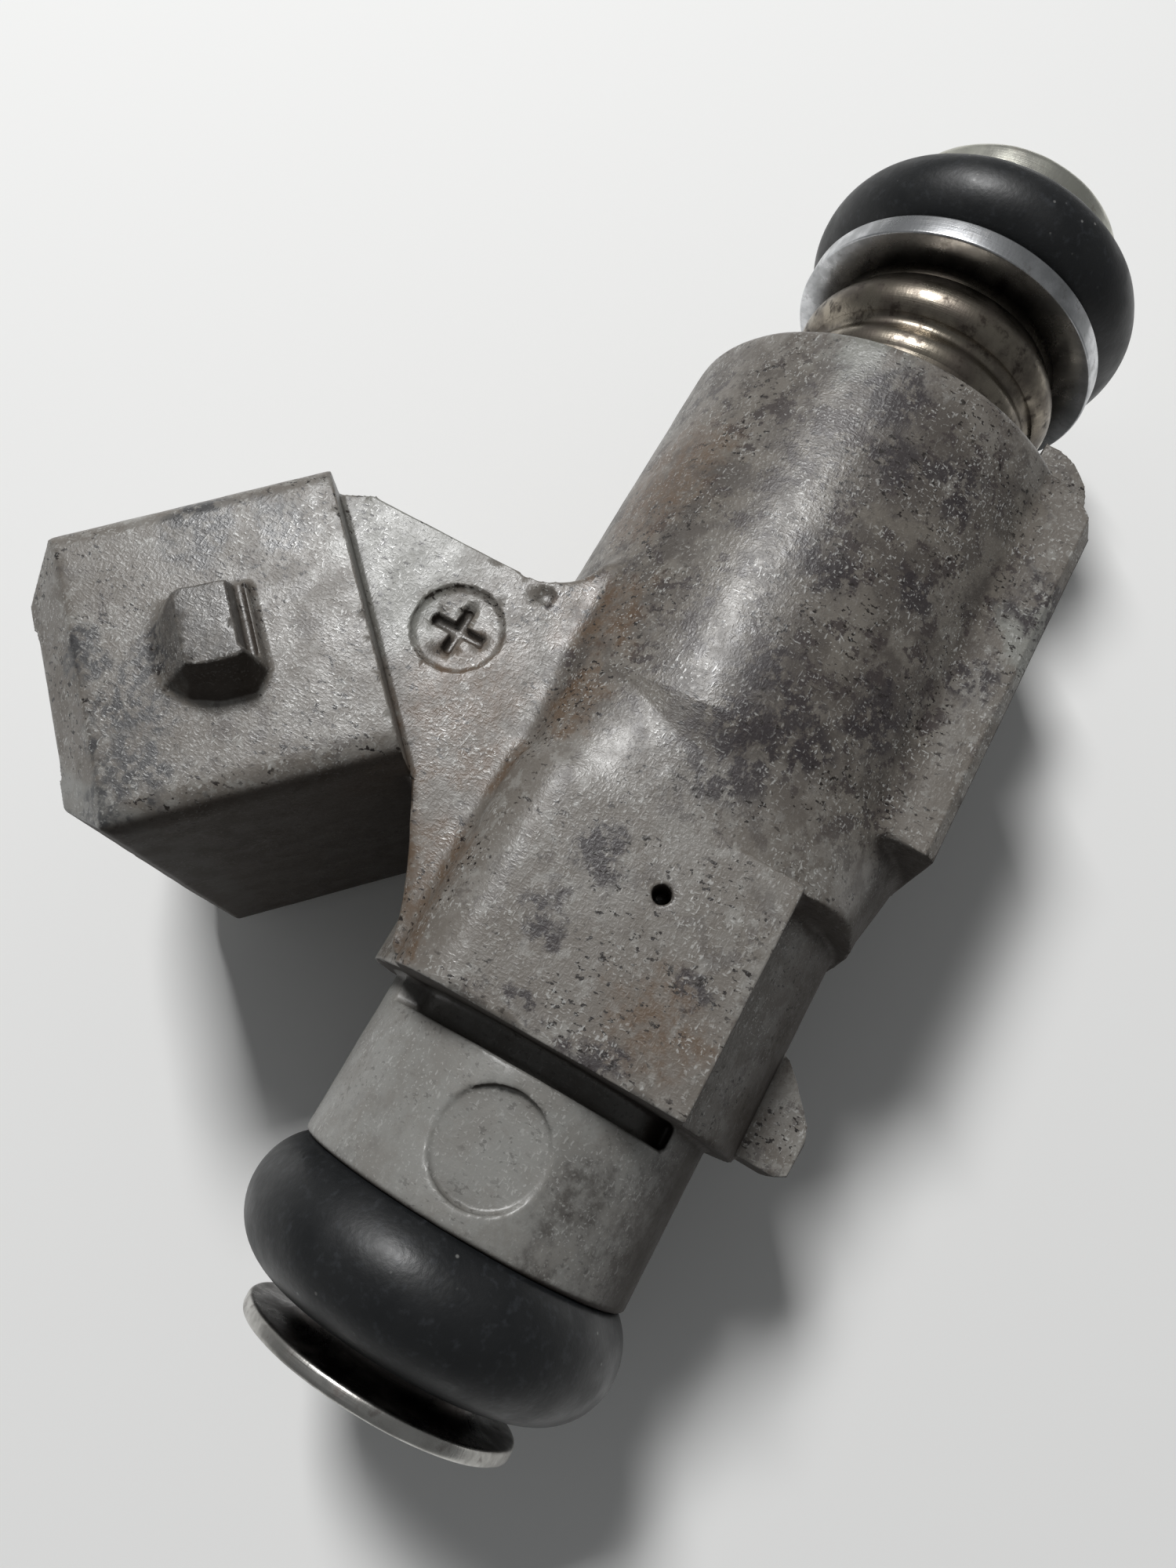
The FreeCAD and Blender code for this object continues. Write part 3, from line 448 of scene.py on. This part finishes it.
def turned_metal(name, bright, dull, stain, rough_low, rough_high, stained):
    """Turned steel: fine rings round the fuel axis, cloudy stains, small scratches, and stain with painted
    shade in corners.
    """
    p = Paint(name, metallic=1.0)
    lines = p.noise(0.05, 3, 0.6, p.stretched((1, 0.02, 0.02)))
    cloud = p.noise(1.5, 6, 0.6)
    colour = p.mix(p.band(cloud, 0.35, 0.65), bright, dull)
    mark_start = 0.62 - 0.2 * stained
    mark_end = 0.72 - 0.1 * stained
    mark_share = 0.85 * min(1.0, 2 * stained)
    marks = p.band(p.noise(0.7, 8, 0.65), mark_start, mark_end, 0, mark_share)
    colour = p.mix(marks, colour, stain)
    # Darker in corners and gaps: partly stain, partly painted shade
    corner_stain_and_shade = tuple(0.3 * c for c in stain)
    colour = p.mix(p.band(p.hollows(1.6), 0.92, 0.35, 0, 0.9), colour, corner_stain_and_shade)
    rough = p.maths("ADD", p.band(cloud, 0.3, 0.7, rough_low, rough_high), p.product(marks, 0.15))
    scratches = p.noise(0.12, 4, 0.6, p.stretched((0.25, 1, 1), (0.4, 0.3, 0.2)))
    return p.finish(colour, rough, p.bump(lines, 0.012, 0.5, p.bump(scratches, 0.02, 0.3)))


def plain_plastic(name, colour, lighter, roughness):
    """Clean moulded plastic with a faint flow pattern."""
    p = Paint(name, specular=0.5)
    tone = p.mix(p.noise(1.8, 5), colour, lighter)
    rough = p.band(p.noise(0.6, 4), 0.3, 0.7, roughness, roughness + 0.15)
    return p.finish(tone, rough, p.bump(p.noise(0.25, 4), 0.02, 0.4))


def gauze_paint():
    """Woven steel gauze, its wires shown by a fine crossed ripple."""
    p = Paint("gauze_paint", roughness=0.35, metallic=1.0)
    turns = ((0, 0, 0), (0, math.pi / 2, 0))
    weave = p.product(*[p.ripple(0.9, p.stretched((1, 1, 1), turn)) for turn in turns])
    colour = p.mix(weave, (0.09, 0.085, 0.08), (0.55, 0.54, 0.50))
    return p.finish(colour, None, p.bump(weave, 0.06))


def winding_paint():
    """Enamelled copper wire, one turn beside the next, with painted shade in the grooves between turns."""
    p = Paint("winding_paint", metallic=1.0)
    # Painted shade in the grooves between the turns
    turns = p.ripple(1.3, p.place)
    colour = p.mix(turns, (0.20, 0.055, 0.02), (0.70, 0.27, 0.12))
    colour = p.mix(p.band(p.noise(1.2, 5), 0.5, 0.7, 0, 0.4), colour, (0.35, 0.10, 0.04))
    return p.finish(colour, p.band(p.noise(0.8), 0.3, 0.7, 0.22, 0.4), p.bump(turns, 0.05))


# ---- mesh helpers --------------------------------------------------------------------------

def piece_from(name, mesh, body, slot, paint, *stands_for):
    """Adds a finished mesh to the object as a named piece."""
    mesh.materials.clear()
    mesh.materials.append(paint)
    piece = bpy.data.objects.new(name, mesh)
    bpy.context.scene.collection.objects.link(piece)
    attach(piece, body)
    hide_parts(*stands_for)
    return piece


def rounded_outline(corners):
    """Closed outline of (x, r) points from corners of (x, r, radius), each corner rounded."""
    steps = 6
    longest_reach = 0.45
    outline = []
    count = len(corners)
    for i, (x, r, radius) in enumerate(corners):
        here = Vector((x, r))
        before = Vector(corners[i - 1][:2]) - here
        after = Vector(corners[(i + 1) % count][:2]) - here
        if radius <= 0:
            outline.append(here)
            continue
        half = before.angle(after) / 2
        reach = min(radius / math.tan(half), longest_reach * before.length, longest_reach * after.length)
        first = here + before.normalized() * reach
        last = here + after.normalized() * reach
        for step in range(steps + 1):
            t = step / steps
            outline.append(first.lerp(here, t).lerp(here.lerp(last, t), t))
    return outline


def lathe(name, outline, wobble=None):
    """Closed mesh turned about the fuel axis. wobble(x, r, angle) gives an added radius."""
    segments = 224
    mesh = bpy.data.meshes.new(name)
    points = []
    faces = []
    count = len(outline)
    for s in range(segments):
        angle = 2 * math.pi * s / segments
        for x, r in outline:
            extra = wobble(x, r, angle) if wobble else 0.0
            points.append((x, (r + extra) * math.cos(angle), (r + extra) * math.sin(angle)))
    for s in range(segments):
        after = (s + 1) % segments
        for i in range(count):
            j = (i + 1) % count
            faces.append((s * count + i, s * count + j, after * count + j, after * count + i))
    mesh.from_pydata(points, [], faces)
    bm = bmesh.new()
    bm.from_mesh(mesh)
    bmesh.ops.recalc_face_normals(bm, faces=bm.faces)
    bm.to_mesh(mesh)
    bm.free()
    mesh.shade_smooth()
    return mesh


def modified(mesh, *modifiers, weights=()):
    """The mesh with modifiers applied, each a kind and its settings. Weights fill the group blends."""
    work = bpy.data.objects.new("work", mesh)
    bpy.context.scene.collection.objects.link(work)
    if weights:
        group = work.vertex_groups.new(name="blends")
        for index, weight in weights:
            group.add([index], weight, "REPLACE")
    for kind, settings in modifiers:
        modifier = work.modifiers.new(kind, kind)
        for key, value in settings.items():
            setattr(modifier, key, value)
    graph = bpy.context.evaluated_depsgraph_get()
    result = bpy.data.meshes.new_from_object(work.evaluated_get(graph))
    bpy.data.objects.remove(work)
    return result


def reworked(node, name, voxel, smoothing):
    """A CAD node's shape as an even mesh with softened edges."""
    weld = 1e-6
    mesh = frame["nodes"][node].data.copy()
    bm = bmesh.new()
    bm.from_mesh(mesh)
    bmesh.ops.remove_doubles(bm, verts=bm.verts, dist=weld)
    bm.to_mesh(mesh)
    bm.free()
    even = ("REMESH", {"mode": "VOXEL", "voxel_size": voxel})
    soft = ("SMOOTH", {"factor": 0.5, "iterations": smoothing})
    result = modified(mesh, even, soft)
    result.name = name
    return result


def keep_inside(mesh, low, high):
    """Brings each vertex that is past a box back to the box."""
    for v in mesh.vertices:
        v.co = Vector(min(max(c, a), b) for c, a, b in zip(v.co, low, high))


# ---- moulded body --------------------------------------------------------------------------

SKIN_VOXEL = 0.10 * MM
SKIN_FACES = 192000

# The cross and the dimple in the top face, in millimetres
CROSS_PLACE = Vector((19.75, 10.18))
CROSS_HALF_WIDTH = 0.22
CROSS_HALF_LENGTH = 1.05
CROSS_DEPTH = 0.18
DIMPLE_PLACE = Vector((22.4, 8.0))
DIMPLE_HALF_WIDTH = 0.26
DIMPLE_DEPTH = 0.12

# The line where plates and barrel meet, and the ledge where the shoulder begins, in millimetres
JUNCTION_Y = 6.2
JUNCTION_Z = 6.0
JUNCTION_START_X = 9.0
JUNCTION_END_X = 35.5
JUNCTION_REACH = 1.7
LEDGE_X = 17.2
LEDGE_Y = 4.2
LEDGE_Z = 7.7
LEDGE_REACH = 2.6

BLEND_SMOOTHING = 120


def cut_marks(p):
    """Extra depth, in millimetres, at a point of the top face: the screw-like cross and the dimple."""
    away = Vector((p.x, p.y)) - CROSS_PLACE
    short, long = sorted((abs(away.x), abs(away.y)))
    depth = 0.0
    if short < CROSS_HALF_WIDTH and long < CROSS_HALF_LENGTH:
        depth = CROSS_DEPTH
    away = Vector((p.x, p.y)) - DIMPLE_PLACE
    if max(abs(away.x), abs(away.y)) < DIMPLE_HALF_WIDTH:
        depth = DIMPLE_DEPTH
    return depth


def blend_weight(p):
    """1 where the plates run into the barrel in a hollow, 0 away from there."""
    junction = math.hypot(abs(p.y) - JUNCTION_Y, abs(p.z) - JUNCTION_Z)
    ends = min(p.x - JUNCTION_START_X, JUNCTION_END_X - p.x)
    weight = min(JUNCTION_REACH - junction, ends)
    if p.y > 0:
        ledge = math.hypot(p.x - LEDGE_X, p.y - LEDGE_Y, abs(p.z) - LEDGE_Z)
        weight = max(weight, LEDGE_REACH - ledge)
    return min(max(weight, 0.0), 1.0)


def weathered(mesh):
    """Wears the skin unevenly, raises the parting line and sinks the marks in the top face."""
    wear_depth = 0.012
    broad_waves = 0.8
    fine_waves = 2.6
    fine_share = 0.35
    mean_wear = 0.9
    line_width = 0.12
    line_height = 0.02
    face_low = 5.3
    face_high = 6.3
    places = []
    for v in mesh.vertices:
        p = v.co / MM
        rough = noise.noise(p * broad_waves) + fine_share * noise.noise(p * fine_waves)
        wear = wear_depth * (rough - mean_wear)
        seam = line_height * math.exp(-(p.z / line_width) ** 2) * (1 - abs(v.normal.z))
        place = v.co + v.normal * (wear + seam) * MM
        if face_low < p.z < face_high:
            place.z -= cut_marks(p) * MM
        places.append(place)
    for v, place in zip(mesh.vertices, places):
        v.co = place


def worn_moulding():
    """The overmould with soft edges, hollow blends, a worn skin and a parting line."""
    mesh = reworked("overmould", "overmould_skin", SKIN_VOXEL, 2)
    weights = [(v.index, blend_weight(v.co / MM)) for v in mesh.vertices]
    weights = [(index, weight) for index, weight in weights if weight > 0]
    soft = ("SMOOTH", {"factor": 0.5, "iterations": BLEND_SMOOTHING, "vertex_group": "blends"})
    mesh = modified(mesh, soft, weights=weights)
    weathered(mesh)
    # The thinning counts triangles, and the mesh has about two for each face
    ratio = min(1.0, SKIN_FACES / (2 * len(mesh.polygons)))
    result = modified(mesh, ("DECIMATE", {"ratio": ratio}))
    keep_inside(result, *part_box("overmould"))
    result.name = "overmould_skin"
    result.shade_smooth()
    return result


# ---- seals, turned metal and spring --------------------------------------------------------

TUBE_R = 3.5 * MM
TUBE_BORE_R = 2.7 * MM
POLE_BORE_R = 1.9 * MM
POLE_BORE_X = 14.0 * MM
SEAL_SEAT_R = 4.0 * MM


def seal_outline(x, half_width, outer_r, seat_r, low_x, high_x, dent=0.0):
    """Round rubber section on its seat, cut off at its neighbours, with a faint moulded step."""
    steps = 72
    step_start = 0.48
    least_gap = 0.02 * MM
    centre_r = outer_r - half_width
    outline = []
    for step in range(steps):
        angle = 2 * math.pi * step / steps
        px = x + half_width * math.cos(angle)
        pr = centre_r + half_width * math.sin(angle)
        if px > x + step_start * half_width and pr > centre_r:
            pr -= dent
        point = Vector((min(max(px, low_x), high_x), max(pr, seat_r)))
        if not outline or (point - outline[-1]).length > least_gap:
            outline.append(point)
    return outline


def uneven(depth, grain):
    """Small unevenness of a turned surface, as an added radius, from sizes in millimetres."""
    def wobble(x, r, angle):
        spot = Vector((x, r * math.cos(angle), r * math.sin(angle))) / (grain * MM)
        return depth * MM * noise.noise(spot)
    return wobble


def inlet_seal():
    """O-ring round the inlet tube, at the origin of the fuel axis."""
    low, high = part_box("inlet_o_ring")
    outline = seal_outline(0, -low.x, high.z, TUBE_R, low.x, high.x)
    return lathe("inlet_seal", outline, wobble=uneven(0.015, 2.5))


def nozzle_seal():
    """O-ring round the nozzle, with the step that its mould left."""
    low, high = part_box("nozzle_o_ring")
    middle = (low.x + high.x) / 2
    half = (high.x - low.x) / 2
    outline = seal_outline(middle, half, high.z, SEAL_SEAT_R, low.x, high.x, dent=0.09 * MM)
    return lathe("nozzle_seal", outline, wobble=uneven(0.015, 2.5))


def flanged_tube():
    """Inlet tube with its rolled rim, down to the pole face."""
    low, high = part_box("inlet_tube")
    rim = low.x + 0.6 * MM
    step_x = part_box("spacer_ring")[0].x
    step_r = TUBE_R - 0.05 * MM
    outline = rounded_outline([
        (low.x, TUBE_BORE_R, 0.35 * MM), (low.x, high.z, 0.24 * MM), (rim, high.z, 0.2 * MM),
        (rim, TUBE_R, 0.9 * MM), (step_x, TUBE_R, 0), (step_x, step_r, 0), (high.x, step_r, 0),
        (high.x, POLE_BORE_R, 0), (POLE_BORE_X, POLE_BORE_R, 0), (POLE_BORE_X, TUBE_BORE_R, 0),
    ])
    return lathe("flanged_tube", outline, wobble=uneven(0.03, 1.6))


def backing_washer():
    """Flat washer behind the nozzle's O-ring, its outer edges rounded."""
    low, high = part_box("nozzle_washer")
    edge = 0.1 * MM
    return lathe("backing_washer", rounded_outline([
        (low.x, SEAL_SEAT_R, 0), (low.x, high.z, edge), (high.x, high.z, edge), (high.x, SEAL_SEAT_R, 0),
    ]))


def nozzle_cap():
    """Pressed cap with a rolled outer edge."""
    low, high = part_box("tip_cap")
    hole_r = 2.6 * MM
    floor_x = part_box("nozzle_body")[1].x
    return lathe("nozzle_cap", rounded_outline([
        (low.x, SEAL_SEAT_R, 0), (low.x, high.z, 0.1 * MM), (high.x, high.z, 0.5 * MM),
        (high.x, hole_r, 0.25 * MM), (floor_x, hole_r, 0), (floor_x, SEAL_SEAT_R, 0),
    ]), wobble=uneven(0.02, 1.5))


def wound_spring(body, paint):
    """Return spring, against its end on the adjusting sleeve, as an even mesh kept inside its box."""
    low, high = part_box("return_spring")
    spring_voxel = 0.03 * MM
    mesh = reworked("return_spring", "wound_spring", spring_voxel, 1)
    keep_inside(mesh, low, high)
    mesh.shade_smooth()
    piece = piece_from("wound_spring", mesh, body, "spring_steel", paint, "return_spring")
    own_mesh(piece)


# ---- build ---------------------------------------------------------------------------------

# Steels: slot, bright, dull and stained colours, least and most roughness, and how stained
STEELS = [
    ("inlet_steel", (0.62, 0.61, 0.58), (0.36, 0.35, 0.33), (0.10, 0.07, 0.065), 0.2, 0.45, 0.3),
    ("nozzle_steel", (0.36, 0.32, 0.26), (0.15, 0.13, 0.11), (0.045, 0.035, 0.03), 0.22, 0.45, 0.5),
    ("bright_steel", (0.74, 0.75, 0.77), (0.42, 0.43, 0.44), (0.20, 0.19, 0.18), 0.22, 0.36, 0.3),
    ("cap_steel", (0.80, 0.79, 0.71), (0.58, 0.58, 0.51), (0.20, 0.12, 0.08), 0.26, 0.44, 0.22),
    ("magnetic_steel", (0.50, 0.50, 0.50), (0.36, 0.36, 0.36), (0.22, 0.20, 0.18), 0.2, 0.45, 0.1),
    ("spacer_steel", (0.60, 0.59, 0.57), (0.45, 0.44, 0.43), (0.25, 0.23, 0.20), 0.2, 0.45, 0.1),
    ("hardened_steel", (0.72, 0.72, 0.73), (0.60, 0.60, 0.61), (0.35, 0.33, 0.30), 0.08, 0.2, 0.05),
    ("spring_steel", (0.45, 0.44, 0.42), (0.32, 0.31, 0.30), (0.20, 0.17, 0.14), 0.2, 0.45, 0.2),
    ("tinned_terminal", (0.66, 0.63, 0.57), (0.50, 0.47, 0.41), (0.30, 0.22, 0.12), 0.2, 0.45, 0.2),
]
BODY = "injector_body"

make_camera()
make_studio()

rubber = rubber_paint()
paints = {
    "seal_rubber": rubber,
    "filter_plastic": plain_plastic("filter_plastic", (0.10, 0.055, 0.018), (0.16, 0.09, 0.03), 0.35),
    "filter_gauze": gauze_paint(),
    "copper_winding": winding_paint(),
    "bobbin_plastic": plain_plastic("bobbin_plastic", (0.012, 0.011, 0.010), (0.022, 0.020, 0.018), 0.3),
}
for steel in STEELS:
    paints[steel[0]] = turned_metal(*steel)
inlet_steel = paints["inlet_steel"]
bright_steel = paints["bright_steel"]
cap_steel = paints["cap_steel"]

piece_from("overmould_skin", worn_moulding(), BODY, "moulded_body", moulding_paint(), "overmould")
piece_from("inlet_seal", inlet_seal(), BODY, "seal_rubber", rubber, "inlet_o_ring")
piece_from("nozzle_seal", nozzle_seal(), BODY, "seal_rubber", rubber, "nozzle_o_ring")
piece_from("flanged_tube", flanged_tube(), BODY, "inlet_steel", inlet_steel, "inlet_tube")
piece_from("backing_washer", backing_washer(), BODY, "bright_steel", bright_steel, "nozzle_washer")
piece_from("nozzle_cap", nozzle_cap(), BODY, "cap_steel", cap_steel, "tip_cap")

wound_spring(BODY, paints["spring_steel"])

slot_of = {row["node"]: row["material_slot"] for row in frame["record"]["subparts"]}
for node, thing in frame["nodes"].items():
    if thing.hide_render:
        continue
    thing.data.materials.clear()
    thing.data.materials.append(paints[slot_of[node]])
